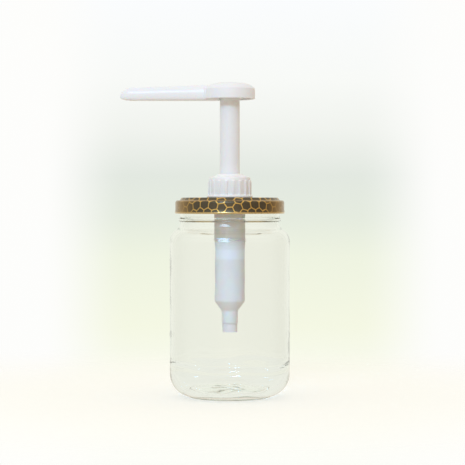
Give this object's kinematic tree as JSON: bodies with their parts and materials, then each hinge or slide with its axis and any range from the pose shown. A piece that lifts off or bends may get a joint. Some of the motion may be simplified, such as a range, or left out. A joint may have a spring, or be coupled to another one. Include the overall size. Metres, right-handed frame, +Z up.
{
  "type": "condiment pump dispenser",
  "caption": "Glass jar with a twist-off metal lid and a hand pump through it: ribbed collar, white stem, domed push head with a long straight spout, and a barrel inside the jar.",
  "frame": {"origin": "centre of the footprint of the whole dispenser, on the surface that the jar stands on; the common axis of jar and pump is the vertical line at x = 18.2 mm", "axes": "+Z up along the pump; the spout points along -X; +Y completes the frame, and the object is symmetric about the XZ plane apart from its screw threads and closure ramps"},
  "size_m": [0.1242, 0.0878, 0.2302],
  "materials": {
    "jar_glass": "clear, faintly green, polished",
    "printed_tinplate": "gold lacquer with charcoal hexagons, glossy",
    "liner_compound": "matt",
    "white_plastic": "satin gloss",
    "milky_plastic": "translucent, moulded",
    "seal_rubber": "soft, matt",
    "steel": "bright stainless"
  },
  "bodies": {
    "jar": {"glass_jar": "jar_glass"},
    "pump": {"pump_housing": "milky_plastic", "neck_bushing": "white_plastic", "bushing_gasket": "seal_rubber", "closure_collar": "white_plastic", "housing_gasket": "seal_rubber", "stem_guide": "white_plastic", "stem_wiper": "seal_rubber", "ball_cage": "milky_plastic", "inlet_tube": "milky_plastic", "return_spring": "steel"},
    "lid": {"twist_off_lid": "printed_tinplate", "lid_liner": "liner_compound"},
    "piston": {"piston_seal": "seal_rubber"},
    "head": {"actuator_head": "white_plastic", "pump_stem": "white_plastic", "outlet_valve_body": "milky_plastic", "seal_retainer": "milky_plastic"},
    "inlet_ball": {"inlet_ball": "steel"},
    "outlet_ball": {"outlet_ball": "steel"}
  },
  "joints": [
    {"name": "lid_lift", "type": "slide", "parent": "jar", "child": "pump", "axis": [0, 0, 1], "range_m": [0, 0.1125]},
    {"name": "lid_twist", "type": "hinge", "parent": "pump", "child": "lid", "pos_m": [0.0182, 0, 0.14], "axis": [0, 0, 1], "range_deg": [0, 2520]},
    {"name": "pump_stroke", "type": "slide", "parent": "pump", "child": "piston", "axis": [0, 0, -1], "range_m": [0, 0.048], "stiffness_N_per_m": 150, "springref_m": -0.02, "deforming": ["return_spring"]},
    {"name": "spout_swivel", "type": "hinge", "parent": "piston", "child": "head", "pos_m": [0.0182, 0, 0.16], "axis": [0, 0, 1], "continuous": true},
    {"name": "inlet_ball_lift", "type": "slide", "parent": "pump", "child": "inlet_ball", "axis": [0, 0, 1], "range_m": [0, 0.002]},
    {"name": "outlet_ball_lift", "type": "slide", "parent": "head", "child": "outlet_ball", "axis": [0, 0, 1], "range_m": [0, 0.002]}
  ],
  "couplings": [
    {"joint": "lid_lift", "follows": "lid_twist", "m_per_rad": 0.0025465}
  ]
}
